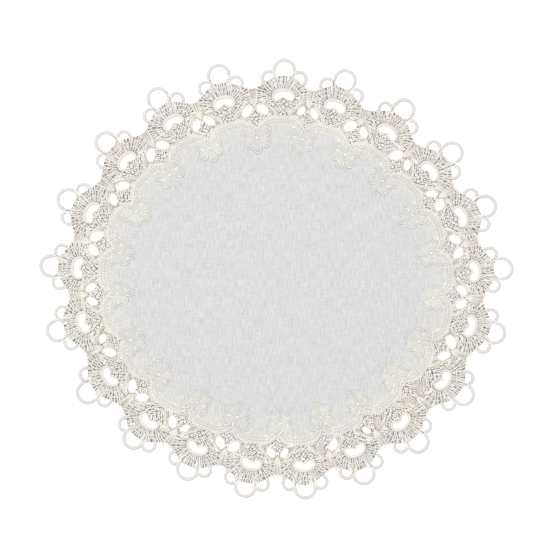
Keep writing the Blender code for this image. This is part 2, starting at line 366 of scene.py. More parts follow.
class Nodes:
    """A material's node tree, with short ways to add linked nodes."""

    def __init__(self, name, roughness, sheen, specular=0.3):
        self.material = bpy.data.materials.new(name)
        self.material.use_nodes = True
        self.tree = self.material.node_tree
        self.shader = self.tree.nodes["Principled BSDF"]
        self.shader.inputs["Roughness"].default_value = roughness
        self.shader.inputs["Sheen Weight"].default_value = sheen
        self.shader.inputs["Sheen Roughness"].default_value = 0.5
        self.shader.inputs["Specular IOR Level"].default_value = specular

    def add(self, kind, **settings):
        """A node. A setting named for one of its inputs is that input's value, or a socket linked to it."""
        node = self.tree.nodes.new(kind)
        for name, value in settings.items():
            label = name.replace("_", " ")
            if label in node.inputs:
                self.feed(node.inputs[label], value)
            else:
                setattr(node, name, value)
        return node

    def feed(self, target, value):
        """Gives an input a value, or links a socket to it."""
        if isinstance(value, bpy.types.NodeSocket):
            self.tree.links.new(value, target)
        else:
            target.default_value = value

    def place(self):
        """Where on the mat a point is, in metres."""
        return self.add("ShaderNodeTexCoord").outputs["Object"]

    def math(self, operation, *values):
        """The result of an operation on one to three values."""
        node = self.add("ShaderNodeMath", operation=operation)
        for target, value in zip(node.inputs, values):
            self.feed(target, value)
        return node.outputs[0]

    def wave(self, value, turns):
        """A sine that makes some turns for each unit of a value."""
        return self.math("SINE", self.math("MULTIPLY", value, tau * turns))

    def noise(self, place, cells, detail, stretch=(1, 1, 1)):
        """Noise with some cells to a metre, and stretch times as many along each axis."""
        moved = self.add("ShaderNodeMapping", Vector=place)
        moved.inputs["Scale"].default_value = stretch
        noise = self.add("ShaderNodeTexNoise", Scale=cells, Detail=detail, Vector=moved.outputs[0])
        return noise.outputs["Fac"]

    def blend(self, share, first, second):
        """Some share of the way from a first colour to a second."""
        mix = self.add("ShaderNodeMix", data_type="RGBA")
        self.feed(mix.inputs["Factor"], share)
        self.feed(mix.inputs[6], first)
        self.feed(mix.inputs[7], second)
        return mix.outputs[2]

    def spread(self, value, low, high, most=1.0):
        """Stretches the values between low and high from 0 to most."""
        ranged = self.add("ShaderNodeMapRange", Value=value, From_Min=low, From_Max=high, To_Max=most)
        return ranged.outputs[0]

    def finish(self, colour, height, depth):
        """The material with its colour, and with bumps that are depth deep for a height from 0 to 1."""
        bump = self.add("ShaderNodeBump", Strength=1.0, Distance=depth, Height=height)
        self.feed(self.shader.inputs["Base Color"], colour)
        self.feed(self.shader.inputs["Normal"], bump.outputs[0])
        return self.material


def rgb(red, green, blue):
    """An opaque colour."""
    return (red, green, blue, 1.0)


def tinted(colour, tint=(1, 1, 1), depth=1.0):
    """A colour under a tint, and darkened to a share of itself."""
    return rgb(*(c * t * depth for c, t in zip(colour, tint)))


TWIST = 1.4  # mm of thread for each turn of its strands
STRANDS = 2
STRAND_DEPTH = 0.00009
FIBRE = 2600  # cells of noise to a metre
MOTTLE = 330
MOTTLE_RANGE = (0.35, 0.65)  # the noise at which the mottle sets in and is full
# A tint that drifts over the mat in slow patches: their noise, the values at which the tint sets in and is
# full, its strength there, and how dark it is
Drift = namedtuple("Drift", "tint cells stretch start full most depth")
DRIFTS = [
    Drift((1.0, 0.955, 0.93), 34, (1, 1, 1), 0.5, 0.72, 0.9, 0.97),
    Drift((0.985, 1.0, 0.955), 27, (1, 1, 7), 0.5, 0.7, 0.8, 0.98),
]


def plied(nodes):
    """The slanting strands of a thread, from 0 between them to 1 on their crests."""
    uv = nodes.add("ShaderNodeUVMap", uv_map="Thread").outputs[0]
    way = nodes.add("ShaderNodeSeparateXYZ", Vector=uv)
    slant = nodes.math("ADD", nodes.math("DIVIDE", way.outputs[0], TWIST), way.outputs[1])
    return nodes.math("MULTIPLY_ADD", nodes.wave(slant, STRANDS), 0.5, 0.5)


def thread_material(name, light, depth):
    """Plied thread: slanting strands, fibre noise, and slow drifts of tone over the mat. depth is how dark
    the painted shade between its strands is, as a share of its light colour; mottled patches take that same
    darker colour as random tone."""
    nodes = Nodes(name, roughness=0.62, sheen=0.25)
    place = nodes.place()
    strands = plied(nodes)
    fibre = nodes.noise(place, FIBRE, detail=3)
    strand_shade_and_mottle = tinted(light, depth=depth)
    mottle = nodes.spread(nodes.noise(place, MOTTLE, detail=2), *MOTTLE_RANGE, most=0.8)
    # painted shade: the colour darkens between the strands, where their grooves lie in shadow; the mottle
    # is random tone toward the same colour
    tone = nodes.blend(mottle, nodes.blend(strands, strand_shade_and_mottle, rgb(*light)), strand_shade_and_mottle)
    for drift in DRIFTS:
        patches = nodes.noise(place, drift.cells, detail=1, stretch=drift.stretch)
        share = nodes.spread(patches, drift.start, drift.full, drift.most)
        tone = nodes.blend(share, tone, tinted(light, drift.tint, drift.depth))
    return nodes.finish(tone, nodes.math("ADD", strands, fibre), STRAND_DEPTH)


# What makes the cloth's yarn uneven: cells of noise to a metre along each axis, and the strength
YARN = [
    ((1200, 130, 1), 1.0),  # upright slubs
    ((120, 900, 1), 0.5),  # fainter crosswise ones
    ((560, 560, 560), 0.32),  # specks
    ((420, 55, 1), 0.06),  # wider upright streaks
]
YARN_RANGE = (0.60, 1.28)  # the sum of all these where the yarn is lightest and darkest
WARP = 0.0011  # metres that two threads take across the mat, one over and one under
WEFT = 0.0012  # and up the mat
WEAVE = 0.25  # strength of the weave beside that of the slubs
LINEN_DEPTH = 0.0001
# The yarn turns creamier toward the cloth's edge, between two shares of an oval's half width and height
CREAM_OVAL = (0.134, 0.124)
CREAM_FROM = 0.86
CREAM_FULL = 0.97


def uneven_yarn(nodes, place):
    """The slubs, specks and streaks of the cloth, added up."""
    total = 0.0
    for cells, strength in YARN:
        noise = nodes.noise(place, 1.0, detail=1, stretch=cells)
        part = nodes.math("MULTIPLY", noise, strength)
        total = nodes.math("ADD", part, total)
    return total


def weave(nodes, place):
    """The over and under of warp and weft."""
    way = nodes.add("ShaderNodeSeparateXYZ", Vector=place)
    warp = nodes.wave(way.outputs[0], 1 / WARP)
    weft = nodes.wave(way.outputs[1], 1 / WEFT)
    return nodes.math("MULTIPLY", warp, weft)


def near_edge(nodes, place):
    """From 0 on the plain part of the cloth to 1 near its edge."""
    scaled = nodes.add("ShaderNodeMapping", Vector=place)
    scaled.inputs["Scale"].default_value = (1 / CREAM_OVAL[0], 1 / CREAM_OVAL[1], 0)
    far = nodes.add("ShaderNodeVectorMath", operation="LENGTH")
    nodes.feed(far.inputs[0], scaled.outputs[0])
    return nodes.spread(far.outputs["Value"], CREAM_FROM, CREAM_FULL)


def linen_material():
    """Plain linen-look cloth: uneven vertical slubs, fainter crosswise ones, and the weave between them."""
    nodes = Nodes("linen_cloth", roughness=0.85, sheen=0.15, specular=0.2)
    place = nodes.place()
    yarn = uneven_yarn(nodes, place)
    slub = nodes.spread(yarn, *YARN_RANGE)
    plain = nodes.blend(slub, rgb(0.70, 0.70, 0.702), rgb(0.52, 0.52, 0.524))
    creamy = nodes.blend(slub, rgb(0.73, 0.722, 0.695), rgb(0.54, 0.532, 0.51))
    tone = nodes.blend(near_edge(nodes, place), plain, creamy)
    height = nodes.math("ADD", yarn, nodes.math("MULTIPLY", weave(nodes, place), WEAVE))
    return nodes.finish(tone, height, LINEN_DEPTH)


# Painted shade: the underlay's dark net and its darker holes stand for the shadow seen between the lace's
# threads, not for a real net.
SHADE_NET_CELL = 0.00145  # metres from one dark hole of the painted shade net to the next
SHADE_NET_HOLE = (0.22, 0.42)  # where a dark hole's edge starts and ends, in cells from its middle; the holes are painted shadow
SHADE_NET_DEPTH = 0.0003
SHADE_NET_SPECKLE = 900  # cells of noise to a metre


def shade_underlay_material():
    """Painted shade under the stitches: a net of darkened thread between small darker holes, standing for
    the shadow seen between the lace's threads.
    """
    nodes = Nodes("shade_underlay", roughness=0.9, sheen=0.0, specular=0.1)
    place = nodes.place()
    cells = nodes.add("ShaderNodeTexVoronoi", voronoi_dimensions="2D", Vector=place, Scale=1 / SHADE_NET_CELL)
    net = nodes.spread(cells.outputs["Distance"], *SHADE_NET_HOLE)
    speckle = nodes.noise(place, SHADE_NET_SPECKLE, detail=3)
    # painted shade: the yarn's two colours and the holes' near-black are darkened to stand for the shadow
    # under the lace's threads
    yarn = nodes.blend(speckle, rgb(0.57, 0.535, 0.485), rgb(0.38, 0.35, 0.31))
    colour = nodes.blend(net, rgb(0.135, 0.125, 0.105), yarn)
    return nodes.finish(colour, net, SHADE_NET_DEPTH)


# -------------------------------- loops and eyes

RIBS = 0.04  # how much a wrapped cord swells at every second ring

# Half the width and height of a fan's loops, from outside to outside, and the width of their cord
BIG_LOOP = 9.6
BIG_CORD = 3.0
BIG_LOOP_UP = 0.1  # how much further out it reaches than in the solid
BIG_LOOP_ENDS = (-12, 192)  # degrees from the right
SMALL_LOOP = (6.45, 6.75)
SMALL_CORD = 2.9
SMALL_LOOP_AT = (12.5, 14.0)
SMALL_LOOP_ENDS = (-58, 130)

# A cord loop: its middle, half width and height, its cord's width, and its ends in degrees from the right
Loop = namedtuple("Loop", "u v wide high cord first last")
LOOP_STEP = 4.2  # degrees between a loop's points
LOOP_HIDDEN = 8  # degrees at each end that lie under the net
LOOP_RISE = 14  # degrees past these over which the cord comes up
LOOP_UNDER = 0.3  # how tall it is under the net, as a share of its full height
LOOP_TALL = 1.8
LOOP_BASE = 0.15  # height of its underside


def fan_loops(fan):
    """A fan's small loops, right and left, and its big one."""
    side, up = SMALL_LOOP_AT
    first, last = SMALL_LOOP_ENDS
    return [
        Loop(side, up, *SMALL_LOOP, SMALL_CORD, first, last),
        Loop(-side, up, *SMALL_LOOP, SMALL_CORD, 180 - last, 180 - first),
        Loop(0.0, fan.loop - BIG_LOOP + BIG_LOOP_UP, BIG_LOOP, BIG_LOOP, BIG_CORD, *BIG_LOOP_ENDS),
    ]


def loop_cords(cords):
    """The three wrapped cord loops over each fan, with their ends tucked under it."""
    for turn, fan in enumerate(FANS):
        for loop in fan_loops(fan):
            degrees = np.linspace(loop.first, loop.last, round((loop.last - loop.first) / LOOP_STEP))
            angles = np.radians(degrees)
            reach = np.array((loop.wide, loop.high)) - loop.cord / 2
            ring = reach * np.stack((np.cos(angles), np.sin(angles)), -1)
            ring = ring * (uneven(0.02), uneven(0.02)) + (loop.u, loop.v)
            risen = np.minimum(degrees - loop.first, loop.last - degrees) - LOOP_HIDDEN
            lift = LOOP_UNDER + (1 - LOOP_UNDER) * np.clip(risen / LOOP_RISE, 0, 1)
            cord = Cord(loop.cord, LOOP_TALL * lift, LOOP_BASE + LOOP_TALL / 2 * lift)
            cords.lay(straight(turn, ring), cord.varied(0.04), ribs=RIBS)


# Right halves of the satin cord over a fan's eye and of the thread under it, from its middle
EYE_CORD = [(0.0, 5.0), (4.4, 4.3), (7.4, 2.2), (8.4, -1.0), (7.2, -3.6)]
EYE_BASE = [(0.0, -0.9), (3.5, -3.0), (6.8, -3.7)]
EYE_CORD_END = 2.0  # the cord's width at its ends
EYE_CORD_SWELL = 0.9  # and how much wider it is in the middle
EYE_CORD_TALL = 1.2
EYE_THREAD = Cord(1.3, 0.8, 0.8)


def eye_cords(cords):
    """The satin cord that arches over each eye, and the thread that closes it below."""
    arch = smooth(mirrored(EYE_CORD), step=0.5)
    base = smooth(mirrored(EYE_BASE), step=0.8)
    width = EYE_CORD_END + EYE_CORD_SWELL * np.sin(np.linspace(0, pi, len(arch)))
    for turn in TURNS:
        cords.lay(straight(turn, arch), Cord(width, EYE_CORD_TALL, z=1.0), ribs=RIBS)
        cords.lay(straight(turn, base), EYE_THREAD)


# -------------------------------- nets

FINGER_TALL = 0.45
FINGER_Z = 0.8
FINGER_UP = 0.12  # how much higher or lower a finger may lie
FINGER_ROOT = 0.8  # how far apart a finger's two threads are at its root, as a share of that at its tip
FINGER_WAIST = 1.1  # and halfway
FINGER_BEND = 4  # points round its tip


def finger(threads, start, end, half, width):
    """A stitch: one thread up a finger, round its tip and down the other side. half is from the finger's
    middle to the middle of its thread."""
    ahead = unit(end - start)
    aside = np.array((ahead[1], -ahead[0]))
    tip = end - ahead * half
    middle = (start + tip) / 2
    root = half * FINGER_ROOT * aside
    waist = half * FINGER_WAIST * aside
    bend = [tip + half * (cos(a) * aside + sin(a) * ahead) for a in np.linspace(0, pi, FINGER_BEND)]
    line = [start + root, middle + waist, *bend, middle - waist, start - root]
    threads.lay(line, Cord(width, FINGER_TALL, FINGER_Z + stray(FINGER_UP)).varied(0.08))


# Right halves of the lines where the net of stitches over a fan starts and ends, from its middle
NET_START = [(0.0, 6.6), (4.6, 6.0), (8.3, 4.1), (10.3, 1.2), (10.6, -1.6), (9.2, -4.3)]
NET_END = [
    (0.0, 16.9),
    (3.6, 17.3),
    (6.6, 19.0),
    (8.5, 21.0),
    (9.6, 19.6),
    (10.0, 16.6),
    (11.2, 13.4),
    (13.8, 11.6),
    (17.6, 10.4),
    (20.4, 7.8),
    (21.0, 3.0),
    (20.0, -2.0),
    (16.4, -5.0),
]
# A row of fingers in the net: how many, and where they start and end between the net's two lines
Row = namedtuple("Row", "count start end")
NET_ROWS = [Row(23, -0.05, 0.27), Row(29, 0.28, 0.59), Row(37, 0.60, 1.0)]
NET_HALF = 0.29
NET_THREAD = 0.58
NET_TURN = 0.5  # how far a row may be turned along the arc, in steps from finger to finger
NET_STRAY = 0.2  # how far a finger may stray from its place, and its tip from its root, in such steps
NET_RAGGED = (0.05, 0.06)  # how much a row's starts and ends differ, as shares of the way between the lines
NET_ENDS = (0.005, 0.995)  # the first and last places for a finger, as shares of the arc
NET_TIES = [0.27, 0.6]  # where the threads lie that are run between the rows
TIE = Cord(0.62, 0.9, 0.95)
TIE_PLACES = np.linspace(0.01, 0.99, 46)  # a tie's points, as shares of the arc
TIE_STRAY = 0.12


def net_finger(threads, turn, row, inner, outer, share):
    """One finger of a row, at some share of the way along the net's two lines."""
    lean = stray(NET_STRAY / row.count)
    root = along(inner, share)
    rim = along(outer, np.clip(share + lean, 0, 1))
    first = row.start + stray(NET_RAGGED[0])
    last = min(row.end + stray(NET_RAGGED[1]), 1.0)
    start, end = woven(turn, np.array([root + (rim - root) * first, root + (rim - root) * last]))
    finger(threads, start, end, NET_HALF * uneven(0.2), NET_THREAD)


def nets(threads):
    """The arc of fingers round each eye, in rows with a thread run between them."""
    inner = smooth(mirrored(NET_START), step=0.5)
    outer = smooth(mirrored(NET_END), step=0.5)
    for turn in TURNS:
        for row in NET_ROWS:
            turned = stray(NET_TURN)
            for k in range(row.count):
                share = (k + 0.5 + turned + stray(NET_STRAY)) / row.count
                net_finger(threads, turn, row, inner, outer, np.clip(share, *NET_ENDS))
        for share in NET_TIES:
            tie = along(inner, TIE_PLACES) * (1 - share) + along(outer, TIE_PLACES) * share
            tie += stray(TIE_STRAY, tie.shape)
            threads.lay(woven(turn, tie), TIE)


# -------------------------------- feet and buds

# Right halves of the stitched outlines below the net: a fan's foot, and the bud between two feet, whose u
# is from halfway
FOOT = [(0.0, -1.4), (3.8, -3.4), (8.0, -3.4), (11.0, -3.4), (16.4, -3.4), (18.4, -4.8)]
FOOT += [(13.0, -8.2), (8.0, -12.0), (4.6, -16.4), (0.0, -16.4)]
BUD = [(0.0, -7.2), (1.7, -8.4), (2.6, -11.6), (5.6, -13.8), (9.4, -15.0), (13.0, -13.6), (16.6, -16.0)]
BUD += [(15.0, -17.4), (10.8, -18.6), (6.4, -21.0), (0.0, -24.0)]

# V-shaped rows of stitches that fill an outline: how far out row 0 crosses the middle, how far apart the
# rows are, how long a stitch is with the gap after it, and the outline's right half
Chevrons = namedtuple("Chevrons", "tip gap length outline")
FOOT_ROWS = Chevrons(-16.6, 1.56, 2.3, FOOT)
FOOT_SLOPES = (44, 54)  # degrees from upright, least and most
BUD_ROWS = Chevrons(-24.6, 1.52, 2.15, BUD)
BUD_SLOPE = 56
CHEVRON_ROWS = range(-4, 17)  # the first ones cross the middle below the outline, and enter it at its sides
CHEVRON_REACH = 21  # how far from the middle a row's last stitch may start
CHEVRON_GAP = 0.5  # between two stitches in a row
CHEVRON_CROSS = 0.4  # how far the first stitch of a row starts past the middle
CHEVRON_STRAY = 0.3  # how far a stitch may start from its place
CHEVRON_TURN = 17  # and how far it may turn, in degrees
CHEVRON_RAGGED = 0.18  # and how much longer or shorter it may be, as a share
CHEVRON_HALF = 0.27
CHEVRON_THREAD = 0.63


def inside(point, outline):
    """Whether a point lies in a closed outline."""
    x, y = point
    found = False
    for a, b in zip(outline, np.roll(outline, -1, 0)):
        if (a[1] > y) != (b[1] > y) and x < a[0] + (y - a[1]) * (b[0] - a[0]) / (b[1] - a[1]):
            found = not found
    return found


def upward(side, degrees):
    """A direction that leans from upright toward a side."""
    return np.array((side * sin(radians(degrees)), cos(radians(degrees))))


def chevrons(threads, place, rows, slope):
    """Short stitches in V-shaped rows, each row above the last, where they lie inside an outline."""
    outline = np.concatenate((rows.outline, [(-u, v) for u, v in rows.outline[-1:0:-1]]))
    rise = rows.gap / sin(radians(slope))
    for side in SIDES:
        for row in CHEVRON_ROWS:
            low = rows.tip + (row + side / 4) * rise
            at = -CHEVRON_CROSS + (row % 2) * rows.length / 2
            while at < CHEVRON_REACH:
                start = np.array((0.0, low)) + upward(side, slope) * at + stray(CHEVRON_STRAY, 2)
                ahead = upward(side, slope + stray(CHEVRON_TURN))
                end = start + ahead * (rows.length - CHEVRON_GAP) * uneven(CHEVRON_RAGGED)
                if inside(start, outline) and inside((start + end) / 2, outline):
                    finger(threads, *place(np.array((start, end))), CHEVRON_HALF, CHEVRON_THREAD)
                at += rows.length


def feet(threads):
    """The foot of each fan, from its eye down to the seam."""
    for turn in TURNS:
        chevrons(threads, lambda uv: woven(turn, uv), FOOT_ROWS, RANDOM.uniform(*FOOT_SLOPES))


# The thread that runs down on each side of a bud's tip, from halfway
SPIKE = [(0.63, -6.2), (0.9, -8.0), (1.26, -10.4)]
SPIKE_THREAD = Cord(0.8, 0.8, 0.9)


def buds(threads):
    """The half medallion between two feet."""
    for turn in TURNS:
        chevrons(threads, lambda uv: bent(turn, uv + (HALF, 0)), BUD_ROWS, BUD_SLOPE)
        for side in SIDES:
            threads.lay(bent(turn, np.array(SPIKE) * (side, 1) + (HALF, 0)), SPIKE_THREAD)


# -------------------------------- arches and bridges

# The cords from the bridge between two fans down to the seam, beside the bud's holes: the innermost of
# three alike, how far out each of the three lies, and the shorter ones over the hole and past its foot
ARCH = [(HALF, -4.4), (18.6, -5.0), (14.6, -7.4), (11.2, -10.4), (7.8, -13.2), (5.2, -16.2)]
ARCH_LIFTS = [0.0, 1.3, 2.6]
ARCH_SHORTS = [
    [(HALF, -5.6), (19.4, -6.2), (16.8, -7.5)],
    [(11.6, -11.3), (8.9, -13.7), (6.4, -16.6)],
    [(12.3, -12.5), (9.9, -14.7), (7.8, -17.0)],
    [(13.2, -13.6), (11.3, -15.3), (9.5, -17.2)],
    [(14.2, -14.6), (12.6, -15.9), (11.1, -17.5)],
]
ARCH_CORD = Cord(0.74, 0.7, 1.0)


def arches(cords):
    """The smooth cords on both sides of each bud's holes."""
    lines = [np.array(ARCH) + (0, lift) for lift in ARCH_LIFTS] + ARCH_SHORTS
    for turn in TURNS:
        for side in SIDES:
            for line in lines:
                cords.lay(bent(turn, smooth(line, step=1.0) * (side, 1)), ARCH_CORD.varied(0.15))


BRIDGE_TOP = 9.6
BRIDGE_WAIST = 2.0
BRIDGE_FOOT = -4.4
BRIDGE_POINT = 2.6  # how much further down its middle reaches, between the holes
BRIDGE_HALF = 2.7  # half its width at the waist
BRIDGE_TOP_WIDE = 1.4  # its width at the top and at the foot, as shares of that
BRIDGE_FOOT_WIDE = 0.8
BRIDGE_THREADS = 7
BRIDGE_CORD = Cord(0.73, 0.7, 0.9)
BRIDGE_STRAY = 0.25  # how far to the side a thread may lie at the waist


def bridges(threads):
    """The flat satin stitches that join two fans."""
    for turn in TURNS:
        for share in np.linspace(-1, 1, BRIDGE_THREADS):
            u = BRIDGE_HALF * share
            foot = (u * BRIDGE_FOOT_WIDE, BRIDGE_FOOT - BRIDGE_POINT * (1 - abs(share)))
            waist = (u + stray(BRIDGE_STRAY), BRIDGE_WAIST)
            top = (u * BRIDGE_TOP_WIDE, BRIDGE_TOP * uneven(0.06))
            line = smooth([foot, waist, top], step=2.0) + (HALF, 0)
            threads.lay(bent(turn, line), BRIDGE_CORD.varied(0.15))


# -------------------------------- holes beside the buds

# A bud's hole, from halfway: its middle, half length and half width where it is fully open, and slant
HOLE_AT = (6.2, -10.2)
HOLE = (4.9, 2.9)
HOLE_SLANT = radians(46)
RIM_OUT = 0.55  # from a hole's edge to the middle of the cord round it
RIM_STEP = 15  # degrees between that cord's points
RIM_CORD = Cord(1.15, 0.75, 0.75)


def bud_holes():
    """Each hole beside a bud: the fan before it, its side of the bud, and how open it is."""
    for turn, fan in enumerate(FANS):
        for side, opening in zip(SIDES, (fan.left_hole, fan.right_hole)):
            yield turn, side, opening


def in_hole(turn, side, lengthwise, across):
    """Points in a bud's hole, by how far along and across it they are from its middle."""
    u = HOLE_AT[0] + lengthwise * cos(HOLE_SLANT) + across * sin(HOLE_SLANT)
    v = HOLE_AT[1] - lengthwise * sin(HOLE_SLANT) + across * cos(HOLE_SLANT)
    return bent(turn, np.stack((HALF + side * u, v), -1))


def rims(cords):
    """The soft cord round each open hole beside a bud."""
    angles = np.radians(np.arange(0, 360, RIM_STEP))
    for turn, side, opening in bud_holes():
        if opening:
            lengthwise = (HOLE[0] * opening + RIM_OUT) * np.cos(angles)
            across = (HOLE[1] * opening + RIM_OUT) * np.sin(angles)
            cords.lay(in_hole(turn, side, lengthwise, across), RIM_CORD.varied(0.1), closed=True)


FILL_THREADS = 7
FILL_ACROSS = 0.95  # how far across a hole the outer stitches lie, as a share of its half width
FILL_OVER = 1.15  # square of how far a stitch over its middle reaches, as a share of its half length
FILL_CORD = Cord(0.78, 0.8, (0.7, 0.85, 0.7))


def fillings(threads):
    """Satin stitches over the bud holes that are sewn shut."""
    for turn, side, opening in bud_holes():
        if not opening:
            for share in np.linspace(-FILL_ACROSS, FILL_ACROSS, FILL_THREADS):
                half = HOLE[0] * np.sqrt(FILL_OVER - share * share) * uneven(0.06)
                stitch = in_hole(turn, side, half * np.array((-1, 0, 1)), share * HOLE[1])
                threads.lay(stitch, FILL_CORD)


# -------------------------------- band along the cloth's edge

BAND_STEP = 1.5  # from stitch to stitch
EDGE_OUT = 0.35  # the middle of the cord over the seam, out from the cloth's edge
EDGE_CORD = Cord(1.7, 0.7, 0.8)
# A row of satin stitches along the seam: where they start and end, in from the cloth's edge, how much their
# ends differ, their width and the height of their middle
BandRow = namedtuple("BandRow", "start end ragged width z")
BAND_ROWS = [BandRow(0.2, 4.6, 0.9, 1.0, 1.0), BandRow(4.2, 6.3, 1.6, 0.75, 0.96)]
BAND_RAGGED = 0.3  # how much their starts differ
BAND_TALL = 0.45
BAND_DIP = 0.05  # how much lower a stitch's inner end lies
BAND_RUNS = [2.3, 4.4]  # how far in the threads run that cross these stitches
RUN_THREAD = Cord(0.6, 0.35, 1.2)


def bands(cords, threads):
    """The satin band along the cloth's edge: two rows of stitches, with threads run over them."""
    seam = np.concatenate([bent(turn, mirrored(SEAM)[:-1]) for turn in TURNS])
    edge = smooth(seam, BAND_STEP, closed=True)
    ahead = directions(edge, closed=True)
    inward = np.stack((ahead[:, 1], -ahead[:, 0]), -1)
    cords.lay(edge - inward * EDGE_OUT, EDGE_CORD, closed=True)
    for run in BAND_RUNS:
        cords.lay(edge + inward * run, RUN_THREAD, closed=True)
    for row in BAND_ROWS:
        for here, way in zip(edge, inward):
            start = row.start + stray(BAND_RAGGED)
            end = row.end + stray(row.ragged)
            stitch = [here + way * start, here + way * (start + end) / 2, here + way * end]
            cord = Cord(row.width, BAND_TALL, (row.z, row.z, row.z - BAND_DIP))
            threads.lay(stitch, cord.varied(0.15))


# -------------------------------- flowers

# One row for each petal, from the lowest to the one on top: its turn from the mat's middle, its length from
# the flower's middle and its width
Petal = namedtuple("Petal", "turn length width")
PETALS = [
    Petal(180.0, 8.2, 5.6),
    Petal(118.0, 14.0, 7.6),
    Petal(-118.0, 14.0, 7.6),
    Petal(66.0, 12.8, 8.0),
    Petal(-66.0, 12.8, 8.0),
    Petal(0.0, 12.2, 7.4),
]
PETAL_START = 1.8  # from the flower's middle
PETAL_SWAY = 4  # degrees
PETAL_LIFT = 0.03  # how far each petal lies over the one before it
# Half of a petal's outline, which starts clear of its neighbours: shares of its length and half width
PETAL_EDGE = [(0.4, 0.68), (0.65, 0.98), (0.9, 0.7), (1.0, 0.0)]
PAINTED_SHADOW_OUT = 0.6  # how far outside a petal's outline its painted shadow lies: a run of dark stitches that stands for the shadow the raised petal casts on the cloth

# The satin stitches across a petal: how far apart they are, the first and the last by their shares of its
# length, and how far a stitch's middle lies behind its ends
PETAL_STEP = 0.8
PETAL_FIRST = 0.06
PETAL_LAST = 0.97
PETAL_BEND = 0.7
PETAL_FILL = 0.94  # how much of its half width they reach over, where it is widest
PETAL_WIDEST = 0.8  # power that moves that place toward the flower's middle
PETAL_BLUNT = 0.7  # and power that makes the petal's two ends blunter

OUTLINE_CORD = Cord(0.72, 0.6, 1.15)
# painted shadow: a low dark thread just outside each petal, standing for the shadow the petal casts
PAINTED_SHADOW_THREAD = Cord(0.5, 0.3, 0.93)
PETAL_STITCH = Cord(1.05, 0.4, np.array((0.95, 1.08, 0.95)))
KNOT = Cord(1.3, 0.9, 1.5)


def petal_edge(length, half, out):
    """The way round a petal's tip, by the distance ahead from the flower's middle and to the side."""
    edge = [(PETAL_START + a * (length + out), b * half + out * (b > 0)) for a, b in PETAL_EDGE]
    return edge + [(a, -b) for a, b in edge[-2::-1]]


def petal_stitches(length, half):
    """The satin stitches across a petal, by the same distances."""
    for share in np.arange(PETAL_FIRST, PETAL_LAST, PETAL_STEP / length):
        side = half * PETAL_FILL * np.sin(pi * share**PETAL_WIDEST) ** PETAL_BLUNT
        reach = PETAL_START + share * length
        yield [(reach, -side), (reach - PETAL_BEND, 0.0), (reach, side)]


def petal(turn, row, middle, lift, cords, threads, painted_shadows):
    """One satin petal, with a corded outline and, outside it, a run of dark stitches that is painted shadow
    of the raised petal on the cloth.
    """
    angle = radians(row.turn + stray(PETAL_SWAY))
    ahead = np.array((sin(angle), -cos(angle)))
    aside = np.array((cos(angle), sin(angle)))
    length = row.length * uneven(0.05) - PETAL_START
    half = row.width / 2 * uneven(0.06)

    def turned(places):
        """Places of an upright petal as points (u, v)."""
        return np.array([middle + a * ahead + b * aside for a, b in places])

    outline = smooth(turned(petal_edge(length, half, out=0.0)), step=0.8)
    cords.lay(bent(turn, outline), OUTLINE_CORD.raised(lift))
    shade = smooth(turned(petal_edge(length, half, out=PAINTED_SHADOW_OUT)), step=1.0)
    painted_shadows.lay(bent(turn, shade), PAINTED_SHADOW_THREAD)
    for stitch in petal_stitches(length, half):
        threads.lay(bent(turn, turned(stitch)), PETAL_STITCH.raised(lift).varied(0.1))


def flowers(cords, threads, painted_shadows):
    """Satin flowers round a knot, one below each bud."""
    for turn, fan in enumerate(FANS):
        middle = np.array((HALF + fan.shift, -fan.depth))
        for order, row in enumerate(PETALS):
            petal(turn, row, middle, order * PETAL_LIFT, cords, threads, painted_shadows)
        cords.lay(bent(turn, circle(middle, KNOT.width / 2, step=0.5)), KNOT, closed=True)


# -------------------------------- sheets

CLOTH_TOP = 0.9
SHADE_UNDERLAY_IN = 0.55  # how far the painted shade underlay is drawn in from the solid's edges
SHADE_UNDERLAY_BOTTOM = 0.1
SHADE_UNDERLAY_TOP = 0.45
SAME_PLACE = 0.001  # corners closer than this are one
FACING_DOWN = -0.5  # where a face's normal is lower than this
SHARPEST = 0.6  # keeps the corners of a drawn-in edge from moving too far


def underside(node):
    """The plan of a solid: the faces of its underside, as one flat mesh."""
    bm = bmesh.new()
    bm.from_mesh(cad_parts[node].data)
    bmesh.ops.remove_doubles(bm, verts=bm.verts, dist=SAME_PLACE * MM)
    others = [face for face in bm.faces if face.normal.z > FACING_DOWN]
    bmesh.ops.delete(bm, geom=others, context="FACES")
    return bm


def draw_in(bm, distance):
    """Moves the edge of a flat mesh inward."""
    moves = {}
    for vert in bm.verts:
        ways = []
        for edge in vert.link_edges:
            if edge.is_boundary:
                start, end = (v.co for v in edge.verts)
                way = (end - start).cross((0, 0, 1)).normalized()
                face = edge.link_faces[0].calc_center_median()
                ways.append(way if way.dot(face - start) > 0 else -way)
        if ways:
            way = sum(ways[1:], start=ways[0]).normalized()
            moves[vert] = way * distance / max(way.dot(ways[0]), SHARPEST)
    for vert, move in moves.items():
        vert.co += move


def flat_sheet(name, bm, bottom, top, material):
    """A closed sheet of even thickness from a flat mesh that faces down."""
    for vert in bm.verts:
        vert.co.z = bottom * MM
    lifted = bmesh.ops.extrude_face_region(bm, geom=bm.faces[:])
    for item in lifted["geom"]:
        if isinstance(item, bmesh.types.BMVert):
            item.co.z = top * MM
    bmesh.ops.recalc_face_normals(bm, faces=bm.faces)
    mesh = bpy.data.meshes.new(name)
    bm.to_mesh(mesh)
    bm.free()
    return placed(name, mesh, material)


def shade_underlay():
    """A thin dark underlay of painted shade in the plan of the lace's solid, drawn in a little from its
    edges.
    """
    bm = underside("lace_edging")
    draw_in(bm, SHADE_UNDERLAY_IN * MM)
    material = shade_underlay_material()
    return flat_sheet("shade_underlay", bm, SHADE_UNDERLAY_BOTTOM, SHADE_UNDERLAY_TOP, material)


